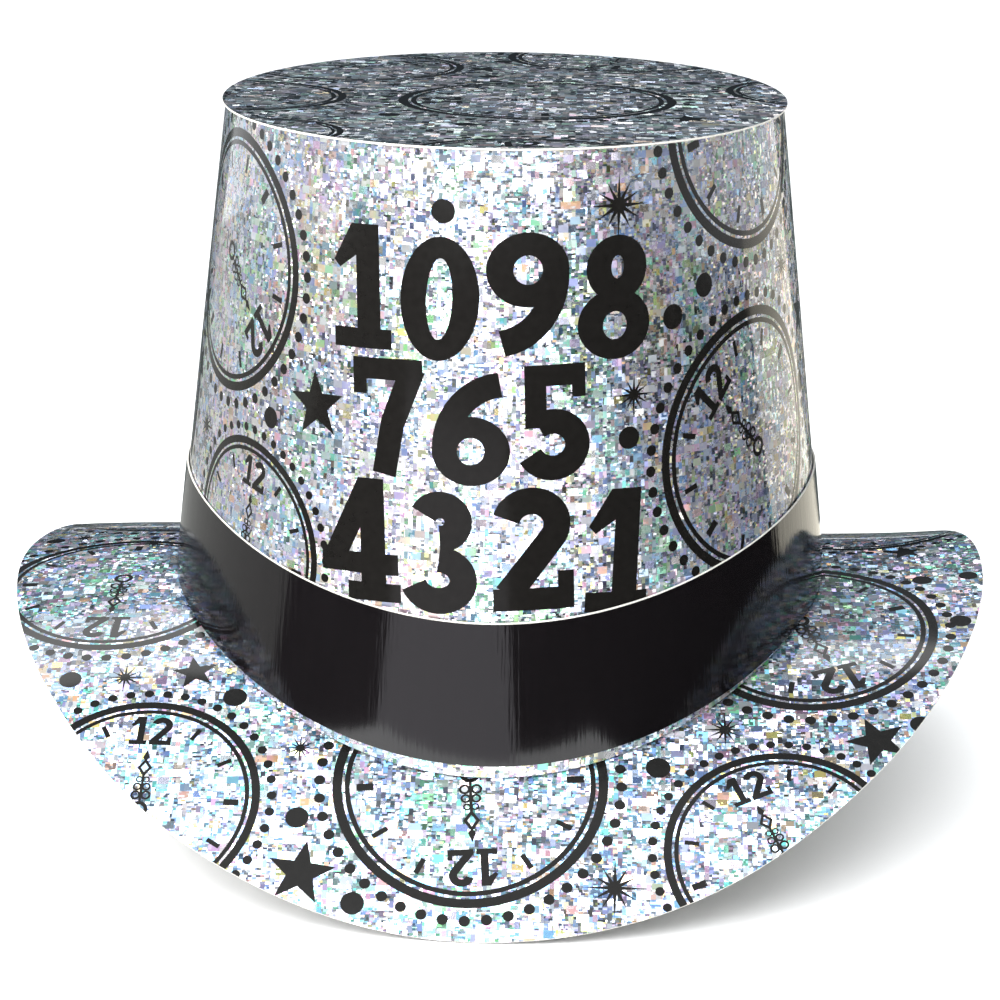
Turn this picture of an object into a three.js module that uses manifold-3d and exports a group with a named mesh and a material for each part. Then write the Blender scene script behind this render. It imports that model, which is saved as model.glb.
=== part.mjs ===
// A party top hat made of foil card: a tapering oval crown with a flat top, a brim bent like a saddle
// so that its front and back hang down, and a glossy black band round the foot of the crown.
// Units are millimetres. +Z is up, -Y is the front, and +X is the wearer's left.
// The origin is the centre of the head opening, level with the highest line of the brim.

import * as THREE from 'three';
import { mergeVertices } from 'three/addons/utils/BufferGeometryUtils.js';
import Module from 'manifold-3d';

const wasm = await Module();
wasm.setup();

// ---- driving dimensions ------------------------------------------------------------------------

const CARD = 0.5; // thickness of the card
const GAP = 0.3; // clearance between two layers of card that are glued together
const LAYER = CARD + GAP; // from one layer of card to the next

const FOOT_HALF_WIDTH = 91; // inside of the crown at the brim, left to right
const FOOT_HALF_LENGTH = 100; // and front to back
const TOP_HALF_WIDTH = 75.5; // inside of the crown under its top, left to right
const TOP_HALF_LENGTH = 99.5; // and front to back
const CROWN_HEIGHT = 131; // from the brim's highest line to the upper face of the top

const ARCH_RADIUS = 177.5; // the brim is bent round a cylinder of this radius, lying along X
const BRIM_HALF_WIDTH = 136.5; // left to right
const BRIM_HALF_LENGTH = 152; // front to back, measured along the bent card

const TOP_OVERHANG = 1; // how far the top stands out past the crown
const BAND_HEIGHT_AT_SIDES = 30.5;
const BAND_HEIGHT_AT_FRONT = 38;
const BAND_LIFT_AT_FRONT = 4.2; // strip of foil that shows between the band and the brim

const LAP_WIDTH = 12; // overlap of the two ends of a rolled strip, at the back
const TAB_LENGTH = 9;
const TOP_TABS = 30; // folded in under the top
const COLLAR_TABS = 30; // folded up inside the crown
const TAB_SHARE = 0.8; // part of its pitch that a tab takes at its fold
const TAB_TIP_SHARE = 0.6; // and at its tip

const ROUND = 80; // facets round the crown and the brim
const BRIM_RINGS = 6; // facets from the brim's inner to its outer edge
const TAB_FACETS = 2;

const BACK = Math.PI / 2; // direction of the lapped seams, as an angle from +X
const FULL_TURN = 2 * Math.PI;
const LAP_ANGLE = LAP_WIDTH / FOOT_HALF_WIDTH;
const LAP_RAMP = LAP_ANGLE; // angle over which a strip climbs on to its own other end

const WALL_TOP = CROWN_HEIGHT - CARD - GAP;

// ---- surfaces ----------------------------------------------------------------------------------

const mix = (a, b, t) => a + (b - a) * t;
const ramp = (t) => THREE.MathUtils.smoothstep(t, 0, 1);

// Height of the brim's upper face at a distance y in front of or behind the ridge.
const archHeight = (y) => Math.sqrt(ARCH_RADIUS ** 2 - y ** 2) - ARCH_RADIUS;

// The crown's inner face at an angle and a height, moved out by a distance along its level normal.
function crownPoint(angle, z, out) {
  const rise = z / CROWN_HEIGHT;
  const halfWidth = mix(FOOT_HALF_WIDTH, TOP_HALF_WIDTH, rise);
  const halfLength = mix(FOOT_HALF_LENGTH, TOP_HALF_LENGTH, rise);
  const across = Math.cos(angle);
  const along = Math.sin(angle);
  const normal = new THREE.Vector2(halfLength * across, halfWidth * along).normalize();
  return new THREE.Vector3(halfWidth * across + out * normal.x, halfLength * along + out * normal.y, z);
}

// The same point, at a height above the brim instead of above the origin.
function aboveBrim(angle, height, out) {
  const level = crownPoint(angle, 0, out);
  return crownPoint(angle, archHeight(level.y) + height, out);
}

// A point of the flat brim sheet, bent round the arch. depth is how far under the upper face it is.
function bentPoint(x, along, depth) {
  const turn = along / ARCH_RADIUS;
  const radius = ARCH_RADIUS - depth;
  return new THREE.Vector3(x, radius * Math.sin(turn), radius * Math.cos(turn) - ARCH_RADIUS);
}

// ---- solids ------------------------------------------------------------------------------------

function bare(geometry) {
  geometry.deleteAttribute('normal');
  geometry.deleteAttribute('uv');
  return mergeVertices(geometry, 1e-4);
}

// Moves each vertex of a geometry to the place that a function gives for it.
function mapped(geometry, place) {
  const position = geometry.attributes.position;
  const vertex = new THREE.Vector3();
  for (let i = 0; i < position.count; i++) {
    vertex.fromBufferAttribute(position, i);
    const to = place(vertex);
    position.setXYZ(i, to.x, to.y, to.z);
  }
  return bare(geometry);
}

// A sheet of card: place gets how far along (u), up (v) and out through the thickness (w), 0 to 1.
function sheet(facets, place) {
  const box = new THREE.BoxGeometry(1, 1, 1, facets, 1, 1);
  return mapped(box, (p) => place(p.x + 0.5, p.y + 0.5, p.z + 0.5));
}

function toSolid(geometry) {
  const vertProperties = new Float32Array(geometry.attributes.position.array);
  const triVerts = new Uint32Array(geometry.index.array);
  return new wasm.Manifold(new wasm.Mesh({ numProp: 3, vertProperties, triVerts }));
}

function toGeometry(solid) {
  const { vertProperties, triVerts } = solid.getMesh();
  const geometry = new THREE.BufferGeometry();
  geometry.setAttribute('position', new THREE.BufferAttribute(vertProperties, 3));
  geometry.setIndex(new THREE.BufferAttribute(triVerts, 1));
  return geometry;
}

const joined = (body, extras) =>
  toGeometry(extras.reduce((solid, extra) => solid.add(toSolid(extra)), toSolid(body)));

// The angles of evenly spaced tabs, starting half a pitch from the back so that the lap stays clear.
const tabAngles = (count) =>
  Array.from({ length: count }, (_, i) => BACK + ((i + 0.5) * FULL_TURN) / count);

// ---- the pieces --------------------------------------------------------------------------------

// A strip starts at the back and goes once round, and its far end climbs on to its near end.
const stripAngle = (u) => BACK - LAP_ANGLE / 2 + u * (FULL_TURN + LAP_ANGLE);
const stripClimb = (u) => {
  const beforeLap = FULL_TURN - u * (FULL_TURN + LAP_ANGLE);
  return LAYER * ramp(1 - beforeLap / LAP_RAMP);
};

function crownWall() {
  const strip = sheet(ROUND, (u, v, w) => {
    const angle = stripAngle(u);
    const out = stripClimb(u) + w * CARD;
    const foot = aboveBrim(angle, GAP, out);
    return v > 0.5 ? crownPoint(angle, WALL_TOP, out) : foot;
  });
  const halfPitch = Math.PI / TOP_TABS;
  const tabs = tabAngles(TOP_TABS).map((middle) =>
    sheet(TAB_FACETS, (u, v, w) => {
      const share = mix(TAB_TIP_SHARE, TAB_SHARE, w);
      const angle = middle + (2 * u - 1) * halfPitch * share;
      const reach = mix(-TAB_LENGTH, CARD / 2, w);
      return crownPoint(angle, WALL_TOP, reach).setZ(WALL_TOP - (1 - v) * CARD);
    })
  );
  return joined(strip, tabs);
}

function crownTop() {
  const outline = new THREE.Shape();
  const reach = CARD + TOP_OVERHANG;
  outline.absellipse(0, 0, TOP_HALF_WIDTH + reach, TOP_HALF_LENGTH + reach, 0, FULL_TURN);
  const disc = new THREE.ExtrudeGeometry(outline, {
    depth: CARD,
    bevelEnabled: false,
    curveSegments: ROUND,
  });
  disc.translate(0, 0, CROWN_HEIGHT - CARD);
  return bare(disc);
}

function brim() {
  const ringPoints = [];
  for (let i = 0; i <= BRIM_RINGS; i++) ringPoints.push(new THREE.Vector2(1 + i / BRIM_RINGS, 0));
  for (let i = BRIM_RINGS; i >= 0; i--) ringPoints.push(new THREE.Vector2(1 + i / BRIM_RINGS, 1));
  ringPoints.push(ringPoints[0].clone());
  const washer = new THREE.LatheGeometry(ringPoints, ROUND);
  const sheetOfBrim = mapped(washer, (p) => {
    const angle = Math.atan2(p.z, p.x);
    const outward = Math.hypot(p.x, p.z) - 1;
    const hole = crownPoint(angle, 0, -LAYER);
    const holeAlong = ARCH_RADIUS * Math.asin(hole.y / ARCH_RADIUS);
    const x = mix(hole.x, BRIM_HALF_WIDTH * Math.cos(angle), outward);
    const along = mix(holeAlong, BRIM_HALF_LENGTH * Math.sin(angle), outward);
    return bentPoint(x, along, p.y * CARD);
  });
  const halfPitch = Math.PI / COLLAR_TABS;
  const collar = tabAngles(COLLAR_TABS).map((middle) =>
    sheet(TAB_FACETS, (u, v, w) => {
      const share = mix(TAB_SHARE, TAB_TIP_SHARE, v);
      const angle = middle + (2 * u - 1) * halfPitch * share;
      return aboveBrim(angle, mix(-CARD / 2, TAB_LENGTH, v), w * CARD - LAYER);
    })
  );
  return joined(sheetOfBrim, collar);
}

// The band lies on the crown, so it also steps over the crown's own lap.
function bandOut(angle) {
  const fromBack = Math.abs(angle - BACK - FULL_TURN * Math.round((angle - BACK) / FULL_TURN));
  const overLap = LAYER * ramp(1 - (fromBack - 2 * LAP_ANGLE) / LAP_RAMP);
  return LAYER + overLap;
}

function hatBand() {
  return sheet(ROUND, (u, v, w) => {
    const angle = stripAngle(u);
    const facing = Math.sin(angle) ** 2; // 1 at the front and back, 0 at the sides
    const out = bandOut(angle) + stripClimb(u) + w * CARD;
    const low = GAP + BAND_LIFT_AT_FRONT * facing;
    const height = mix(BAND_HEIGHT_AT_SIDES, BAND_HEIGHT_AT_FRONT, facing);
    return aboveBrim(angle, low + v * height, out);
  });
}

// ---- the assembly ------------------------------------------------------------------------------

const foilCard = (roughness) =>
  new THREE.MeshStandardMaterial({ color: 0xc9ced3, roughness, metalness: 0.9 });
const blackCard = new THREE.MeshStandardMaterial({ color: 0x151315, roughness: 0.15, metalness: 0 });

const hat = new THREE.Group();
hat.name = 'party_hat';

function addPiece(name, geometry, material) {
  const mesh = new THREE.Mesh(geometry, material);
  mesh.name = name;
  hat.add(mesh);
}

addPiece('crown_wall', crownWall(), foilCard(0.3));
addPiece('crown_top', crownTop(), foilCard(0.4));
addPiece('brim', brim(), foilCard(0.35));
addPiece('hat_band', hatBand(), blackCard);

export default hat;
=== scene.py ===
"""The looks of a foil card party top hat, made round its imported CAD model.

The hat is four sheets of card, three of them printed. Each one is laid out flat, in millimetres, and cut
into triangles along every edge of its print. Then it is rolled or bent to the place that its CAD solid
holds, and given the card's thickness, a white cut edge and a plain back.
"""

import math
import random

import bpy
import numpy as np
from mathutils import Matrix, Vector, geometry


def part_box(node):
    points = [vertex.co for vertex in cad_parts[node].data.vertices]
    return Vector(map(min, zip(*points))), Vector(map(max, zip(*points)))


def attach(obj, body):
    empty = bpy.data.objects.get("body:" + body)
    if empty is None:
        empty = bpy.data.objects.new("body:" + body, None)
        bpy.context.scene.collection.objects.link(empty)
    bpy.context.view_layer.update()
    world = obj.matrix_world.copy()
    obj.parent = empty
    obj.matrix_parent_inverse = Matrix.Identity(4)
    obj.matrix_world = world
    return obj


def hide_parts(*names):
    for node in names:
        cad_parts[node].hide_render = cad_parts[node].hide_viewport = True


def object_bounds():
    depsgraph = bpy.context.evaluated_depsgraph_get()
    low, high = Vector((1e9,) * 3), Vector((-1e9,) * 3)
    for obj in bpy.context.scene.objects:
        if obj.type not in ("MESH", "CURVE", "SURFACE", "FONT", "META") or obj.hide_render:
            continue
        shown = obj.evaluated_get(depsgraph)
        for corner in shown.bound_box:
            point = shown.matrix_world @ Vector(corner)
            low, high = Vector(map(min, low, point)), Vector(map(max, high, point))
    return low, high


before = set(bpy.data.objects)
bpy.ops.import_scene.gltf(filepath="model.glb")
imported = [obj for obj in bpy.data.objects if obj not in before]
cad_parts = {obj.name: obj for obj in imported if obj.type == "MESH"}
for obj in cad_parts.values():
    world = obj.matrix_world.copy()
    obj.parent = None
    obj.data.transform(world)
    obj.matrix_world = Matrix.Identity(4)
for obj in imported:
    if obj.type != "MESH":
        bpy.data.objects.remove(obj)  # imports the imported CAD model, whose four nodes the sheets below replace
cad_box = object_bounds()

MM = 0.001
FULL_TURN = 2 * math.pi


# ---- camera -------------------------------------------------------------------------------------

CAMERA_PLACE = Vector((0.0225, -0.7832, 0.2322))
CAMERA_YAW = -0.029  # radians, positive towards +X
CAMERA_PITCH = 0.27  # radians below the horizon
CAMERA_ROLL = 0.012
CAMERA_LENS, CAMERA_SENSOR = 102.5, 36  # mm


def make_camera():
    data = bpy.data.cameras.new("camera")
    data.lens = CAMERA_LENS
    data.sensor_width = CAMERA_SENSOR
    forward = Vector((
        math.sin(CAMERA_YAW) * math.cos(CAMERA_PITCH),
        math.cos(CAMERA_YAW) * math.cos(CAMERA_PITCH),
        -math.sin(CAMERA_PITCH),
    ))
    level = Vector((math.cos(CAMERA_YAW), -math.sin(CAMERA_YAW), 0))
    upward = level.cross(forward)
    right = level * math.cos(CAMERA_ROLL) + upward * math.sin(CAMERA_ROLL)
    axes = Matrix((right, right.cross(forward), -forward)).transposed()
    camera = bpy.data.objects.new("camera", data)
    camera.matrix_world = Matrix.Translation(CAMERA_PLACE) @ axes.to_4x4()
    bpy.context.scene.collection.objects.link(camera)
    bpy.context.scene.camera = camera


make_camera()


# ---- driving dimensions, in millimetres ---------------------------------------------------------


def node_box(name):
    low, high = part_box(name)
    return np.array(low) / MM, np.array(high) / MM


top_low, top_high = node_box("crown_top")
brim_high = node_box("brim")[1]

CARD = top_high[2] - top_low[2]  # thickness of the card
GAP = 0.3  # between two layers of card that are glued together
LAYER = CARD + GAP
TOP_OVERHANG = 1.0

CROWN_HEIGHT = top_high[2]
FOOT_HALF_WIDTH, FOOT_HALF_LENGTH = 91.0, 100.0  # inside of the crown at the brim
TOP_HALF_WIDTH = top_high[0] - CARD - TOP_OVERHANG
TOP_HALF_LENGTH = top_high[1] - CARD - TOP_OVERHANG
WALL_TOP = CROWN_HEIGHT - CARD - GAP

ARCH_RADIUS = 177.5  # the brim is bent round a cylinder of this radius, lying along X
BRIM_HALF_WIDTH = brim_high[0]
BRIM_HALF_LENGTH = 152.0  # measured along the bent card

BAND_HEIGHT_AT_SIDES, BAND_HEIGHT_AT_FRONT = 30.5, 38.0
BAND_LIFT_AT_FRONT = 4.2

LAP_ANGLE = 12 / FOOT_HALF_WIDTH  # overlap of a rolled strip's two ends, at the back
TAB_COUNT = 30  # in each of the two rows inside the crown
TAB_LENGTH = 9.0
TAB_WIDTH, TAB_TIP_WIDTH = 15.0, 11.5

FRONT, BACK = -math.pi / 2, math.pi / 2  # directions, as angles from +X

# How uneven the card lies, in waves.
WALL_WAVES = (  # (mm outwards, waves in a turn, phase, mm of height for one radian)
    (0.10, 3, 0.8, 60),
    (0.07, 5, 0.0, -45),
    (0.04, 11, 0.0, 25),
)
BRIM_WAVES = (  # (mm outwards from the bend, waves in a turn, phase)
    (0.50, 7, 1.0),
    (0.35, 12, 0.0),
)
TIP_LIFT = 2.3  # how far the brim's tip at +X is raised, and the other one lowered
TOP_SWELL = 0.5  # the most that the top rises or sinks
TOP_WAVE_X, TOP_WAVE_Y, TOP_WAVE_PHASE = 31, 37, 0.6  # mm for one radian, across and along
TOP_TAB_DROOP = (0.2, 1.0)  # least and most
COLLAR_TAB_LEAN = (0.1, 0.8)
DROOP_POWER, LEAN_POWER = 1.5, 2  # how a tab bends from its fold to its tip


# ---- surfaces: each gives points in millimetres, in the model's frame -----------------------------


def mix(a, b, t):
    return a + (b - a) * t


def ramp(t):
    t = np.clip(t, 0, 1)
    return t * t * (3 - 2 * t)


def crown_axes(z):
    """The half width and half length of the crown's inside at a height."""
    rise = z / CROWN_HEIGHT
    return mix(FOOT_HALF_WIDTH, TOP_HALF_WIDTH, rise), mix(FOOT_HALF_LENGTH, TOP_HALF_LENGTH, rise)


def girth_table(z, count=1441, reach=1.2 * math.pi):
    """The girth at a height, and a table of angles with the share of it that each is from the front.

    Gives (angles, shares, girth). The angles go past the back on both sides.
    """
    half_width, half_length = crown_axes(z)
    angle = np.linspace(FRONT - reach, FRONT + reach, count)
    speed = np.hypot(half_width * np.sin(angle), half_length * np.cos(angle))
    way = np.concatenate(([0], np.cumsum((speed[1:] + speed[:-1]) / 2 * np.diff(angle))))
    way -= np.interp(FRONT, angle, way)
    girth = np.interp(BACK, angle, way) - np.interp(BACK - FULL_TURN, angle, way)
    return angle, way / girth, girth


FOOT_ANGLES, FOOT_SHARES, FOOT_GIRTH = girth_table(0)
TOP_ANGLES, TOP_SHARES, TOP_GIRTH = girth_table(CROWN_HEIGHT)
MIDDLE_GIRTH = (FOOT_GIRTH + TOP_GIRTH) / 2
LAP_SHARE = LAP_ANGLE * FOOT_HALF_WIDTH / FOOT_GIRTH


def girth(z):
    return mix(FOOT_GIRTH, TOP_GIRTH, z / CROWN_HEIGHT)


def crown_angle(share, z):
    """The direction of a point that is a share of a turn from the front, at a height."""
    at_foot = np.interp(share, FOOT_SHARES, FOOT_ANGLES)
    at_top = np.interp(share, TOP_SHARES, TOP_ANGLES)
    return mix(at_foot, at_top, z / CROWN_HEIGHT)


def unevenness(angle, z):
    """How far the rolled card strays outwards from its true curve."""
    return sum(size * np.sin(waves * angle + phase + z / rise) for size, waves, phase, rise in WALL_WAVES)


def crown_point(angle, z, out):
    """A point at a distance outside the crown's inner face."""
    half_width, half_length = crown_axes(z)
    across, along = np.cos(angle), np.sin(angle)
    normal_x, normal_y = half_length * across, half_width * along
    size = np.hypot(normal_x, normal_y)
    x = half_width * across + out * normal_x / size
    y = half_length * along + out * normal_y / size
    return np.stack([x, y, z + 0 * x], axis=-1)


def arch_height(y):
    return np.sqrt(ARCH_RADIUS**2 - y**2) - ARCH_RADIUS


def above_brim(angle, height, out):
    level = arch_height(crown_point(angle, 0, out)[..., 1])
    return crown_point(angle, level + height, out + unevenness(angle, level + height))


def strip_climb(angle):
    """How far a rolled strip has climbed on to its own other end, at the back."""
    before_lap = BACK - LAP_ANGLE / 2 - angle
    return LAYER * ramp(1 - before_lap / LAP_ANGLE)


def wall_place(flat, depth):
    """flat is (distance round from the front at middle height, height)."""
    z = flat[:, 1]
    angle = crown_angle(flat[:, 0] / MIDDLE_GIRTH, z)
    out = CARD - depth + strip_climb(angle) + unevenness(angle, z)
    return crown_point(angle, z, out)


def band_place(flat, depth):
    """flat is (distance round from the front at middle height, height on the band at the front).

    The band also passes over the wall's own lap.
    """
    angle = crown_angle(flat[:, 0] / MIDDLE_GIRTH, 0)
    from_back = np.abs((angle - BACK + math.pi) % FULL_TURN - math.pi)
    over_wall_lap = LAYER * ramp(1 - (from_back - 2 * LAP_ANGLE) / LAP_ANGLE)
    facing = np.sin(angle) ** 2
    low = GAP + BAND_LIFT_AT_FRONT * facing
    height = mix(BAND_HEIGHT_AT_SIDES, BAND_HEIGHT_AT_FRONT, facing)
    out = LAYER + CARD - depth + over_wall_lap + strip_climb(angle)
    return above_brim(angle, low + flat[:, 1] / BAND_HEIGHT_AT_FRONT * height, out)


def top_place(flat, depth):
    """flat is (x, y)."""
    x, y = flat[:, 0], flat[:, 1]
    inward = np.clip(1 - (x / TOP_HALF_WIDTH) ** 2 - (y / TOP_HALF_LENGTH) ** 2, 0, 1)
    swell = TOP_SWELL * inward * np.sin(x / TOP_WAVE_X + TOP_WAVE_PHASE) * np.cos(y / TOP_WAVE_Y)
    return np.column_stack([flat, CROWN_HEIGHT - depth + swell])


HOLE_HALF_WIDTH = FOOT_HALF_WIDTH - LAYER
HOLE_HALF_LENGTH = ARCH_RADIUS * math.asin((FOOT_HALF_LENGTH - LAYER) / ARCH_RADIUS)


def brim_place(flat, depth):
    """flat is (x, distance behind the ridge along the bent card)."""
    x, along = flat[:, 0], flat[:, 1]
    past_hole = np.hypot(x / HOLE_HALF_WIDTH, along / HOLE_HALF_LENGTH) - 1
    to_edge = 1 - np.hypot(x / BRIM_HALF_WIDTH, along / BRIM_HALF_LENGTH)
    outward = np.clip(past_hole / (past_hole + to_edge), 0, 1)
    angle = np.arctan2(along, x)
    ripple = sum(size * np.sin(waves * angle + phase) for size, waves, phase in BRIM_WAVES)
    lift = outward**2 * (TIP_LIFT * x / BRIM_HALF_WIDTH + ripple)
    turn = along / ARCH_RADIUS
    radius = ARCH_RADIUS - depth + lift
    return np.column_stack([x, radius * np.sin(turn), radius * np.cos(turn) - ARCH_RADIUS])


# ---- flat shapes, in millimetres ------------------------------------------------------------------

FOIL, INK, NOTHING = 0, 1, -1  # what an outline holds: bare foil, print or a hole


def circle(centre, radius, count=96):
    rx, ry = radius if isinstance(radius, tuple) else (radius, radius)
    turn = np.arange(count) * FULL_TURN / count
    return np.column_stack([centre[0] + rx * np.cos(turn), centre[1] + ry * np.sin(turn)])


def box(left, bottom, right, top):
    return np.array([(left, bottom), (right, bottom), (right, top), (left, top)], float)


def arc(centre, radius, start, end, step=12):
    """Points along part of an ellipse, from one angle to another in degrees."""
    count = max(2, round(abs(end - start) / step) + 1)
    turn = np.radians(np.linspace(start, end, count))
    return np.column_stack([centre[0] + radius[0] * np.cos(turn), centre[1] + radius[1] * np.sin(turn)])


def ribbon(path, width):
    """The outline of a stroke of even width along an open path, with square ends."""
    path = np.asarray(path, float)
    steps = np.diff(path, axis=0)
    steps /= np.linalg.norm(steps, axis=1)[:, None]
    before = np.vstack([steps[:1], steps])
    after = np.vstack([steps, steps[-1:]])
    heading = before + after
    heading /= np.linalg.norm(heading, axis=1)[:, None]
    widen = 1 / np.clip((heading * after).sum(1), 0.5, 1)  # no more than twice, at a sharp bend
    side = np.column_stack([-heading[:, 1], heading[:, 0]]) * (width / 2 * widen)[:, None]
    return np.vstack([path - side, (path + side)[::-1]])


def spikes(count, outer, inner):
    """A star: count points, whose lengths repeat the list outer."""
    points = []
    for i in range(2 * count):
        reach = outer[(i // 2) % len(outer)] if i % 2 == 0 else inner
        turn = math.pi / 2 + i * math.pi / count
        points.append((reach * math.cos(turn), reach * math.sin(turn)))
    return np.array(points)


def moved(points, centre=(0, 0), turn=0, size=1):
    """Points made larger, turned by degrees anticlockwise, and moved to a centre."""
    c, s = math.cos(math.radians(turn)), math.sin(math.radians(turn))
    return np.asarray(points) @ np.array([[c, s], [-s, c]]) * size + np.asarray(centre, float)


def moved_print(prints, **where):
    return [(layer, moved(points, **where)) for layer, points in prints]


# Numerals one unit high, drawn with a thick stroke t. Each gives (layer, outline) pairs in painting order.


def nought(t):
    outer = circle((0.32, 0.5), (0.32, 0.5), 48)
    inner = circle((0.32, 0.5), (0.32 - t, 0.5 - 0.8 * t), 40)
    return [(INK, outer), (FOIL, inner)]


def one(t):
    flag = np.array([(0.04, 0.70), (0.10, 0.64), (0.28, 0.76), (0.28, 1.0), (0.22, 1.0)])
    stem = box(0.26, 0, 0.26 + t, 1)
    foot = box(0.04, 0, 0.46 + t / 2, 0.75 * t)
    return [(INK, flag), (INK, stem), (INK, foot)]


def two(t):
    bend = arc((0.31, 0.70), (0.31 - t / 2, 0.30 - t / 2), 165, -30)
    stroke = ribbon(np.vstack([bend, [(0.11, 0.62 * t)]]), t)
    foot = box(0, 0, 0.64, 0.85 * t)
    foot_tip = box(0.64 - 0.6 * t, 0, 0.64, 1.45 * t)
    return [(INK, stroke), (INK, foot), (INK, foot_tip)]


def three(t):
    upper = arc((0.30, 0.755), (0.25 - t / 2, 0.245 - t / 2), 160, -90)
    lower = arc((0.30, 0.28), (0.31 - t / 2, 0.28 - t / 2), 90, -160)
    return [(INK, ribbon(upper, t)), (INK, ribbon(lower, t))]


def four(t):
    slant = ribbon([(0.44, 0.96), (0.10, 0.30)], 0.9 * t)
    bar = box(0.0, 0.22, 0.68, 0.22 + 0.8 * t)
    stem = box(0.36, 0, 0.36 + t, 1)
    foot = box(0.24, 0, 0.48 + t, 0.7 * t)
    return [(INK, slant), (INK, bar), (INK, stem), (INK, foot)]


def five(t):
    bowl = arc((0.29, 0.31), (0.32 - t / 2, 0.31 - t / 2), 125, -155)
    stem = box(0.06, 0.46, 0.06 + 0.85 * t, 1)
    bar = box(0.06, 1 - 0.85 * t, 0.58, 1)
    bar_tip = box(0.58 - 0.55 * t, 1 - 1.35 * t, 0.58, 1)
    return [(INK, ribbon(bowl, t)), (INK, stem), (INK, bar), (INK, bar_tip)]


def six(t):
    stem = arc((0.62, 0.33), (0.62 - t / 2, 0.67 - t / 2), 180, 98, 8)
    outer = circle((0.33, 0.30), (0.33, 0.30), 48)
    inner = circle((0.33, 0.30), (0.33 - t, 0.30 - 0.85 * t), 36)
    return [(INK, ribbon(stem, t)), (INK, outer), (FOIL, inner)]


def seven(t):
    stroke = ribbon([(0.56, 0.93), (0.36, 0.45), (0.27, 0)], t)
    bar = box(0, 1 - 0.85 * t, 0.64, 1)
    bar_tip = box(0, 1 - 1.45 * t, 0.6 * t, 1)
    return [(INK, stroke), (INK, bar), (INK, bar_tip)]


def eight(t):
    upper = circle((0.32, 0.735), (0.27, 0.265), 44)
    lower = circle((0.32, 0.285), (0.32, 0.285), 48)
    upper_eye = circle((0.32, 0.745), (0.27 - t, 0.265 - 0.8 * t), 32)
    lower_eye = circle((0.32, 0.275), (0.32 - t, 0.285 - 0.8 * t), 36)
    return [(INK, upper), (INK, lower), (FOIL, upper_eye), (FOIL, lower_eye)]


def nine(t):
    return moved_print(six(t), centre=(0.64, 1), turn=180)


NUMERALS = {
    "0": nought, "1": one, "2": two, "3": three, "4": four,
    "5": five, "6": six, "7": seven, "8": eight, "9": nine,
}
ONE_WIDTH, NUMERAL_WIDTH = 0.60, 0.66  # of a 1 and of the others


def numeral_row(text, thickness, spacing, sway=0.0, turn=0.0):
    """A row of numerals one unit high, centred on its middle. sway and turn make them dance up and down."""
    widths = [ONE_WIDTH if c == "1" else NUMERAL_WIDTH for c in text]
    left = -(sum(widths) + spacing * (len(text) - 1)) / 2
    prints = []
    for i, c in enumerate(text):
        way = 1 if i % 2 == 0 else -1
        middle = moved_print(NUMERALS[c](thickness), centre=(-widths[i] / 2, -0.5))
        centre = (left + widths[i] / 2, sway * way)
        prints += moved_print(middle, centre=centre, turn=turn * way)
        left += widths[i] + spacing
    return prints


# ---- the printed motifs: lengths in a clock are shares of its outer ring's radius -----------------

CLOCK_RINGS = ((1.0, 0.93), (0.91, 0.872))  # outer and inner radius of each
CLOCK_TICK = (0.70, 0.825)  # the distances from the middle that a tick spans
THICK_TICK, THIN_TICK = 0.03, 0.02  # half the width of a quarter's tick and of another hour's
CLOCK_NUMERALS_AT, CLOCK_NUMERALS_SIZE = 0.69, 0.29
CLOCK_DOTS, CLOCK_DOT_SIZE, CLOCK_DOTS_AT = 44, 0.041, 1.095  # how many, their radius and their ring's
HAND_START = (0, -0.085)
HAND_STROKE = 0.022
HAND_LOOP = (0.078, 0.045)  # outer and inner radius
HAND_BEADS = ((0.135, 0.043), (0.215, 0.038), (0.285, 0.03))  # how far along, and the radius
BEAD_HOLE = 0.56  # share of a bead's radius
DIAMOND_AT, DIAMOND_HALF_WIDTH, DIAMOND_HALF_LENGTH, DIAMOND_HOLE = 0.40, 0.062, 0.09, 0.52


def clock_hand():
    """The ornate hand of a clock: it starts at a loop and points along +Y."""
    prints = [(INK, box(-HAND_STROKE / 2, 0.06, HAND_STROKE / 2, 0.34))]
    prints += [(INK, circle((0, 0), HAND_LOOP[0], 24)), (FOIL, circle((0, 0), HAND_LOOP[1], 20))]
    for middle, bead in HAND_BEADS:
        for x in (-bead, bead):
            prints.append((INK, circle((x, middle), bead, 20)))
            prints.append((FOIL, circle((x, middle), bead * BEAD_HOLE, 14)))
    wide, long = DIAMOND_HALF_WIDTH, DIAMOND_HALF_LENGTH
    diamond = np.array([(0, -long), (wide, 0), (0, long), (-wide, 0)])
    prints.append((INK, moved(diamond, (0, DIAMOND_AT))))
    prints.append((FOIL, moved(diamond, (0, DIAMOND_AT), size=DIAMOND_HOLE)))
    prints.append((INK, np.array([(0.03, 0.50), (0, 0.58), (-0.03, 0.50), (0, 0.46)])))
    return prints


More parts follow.
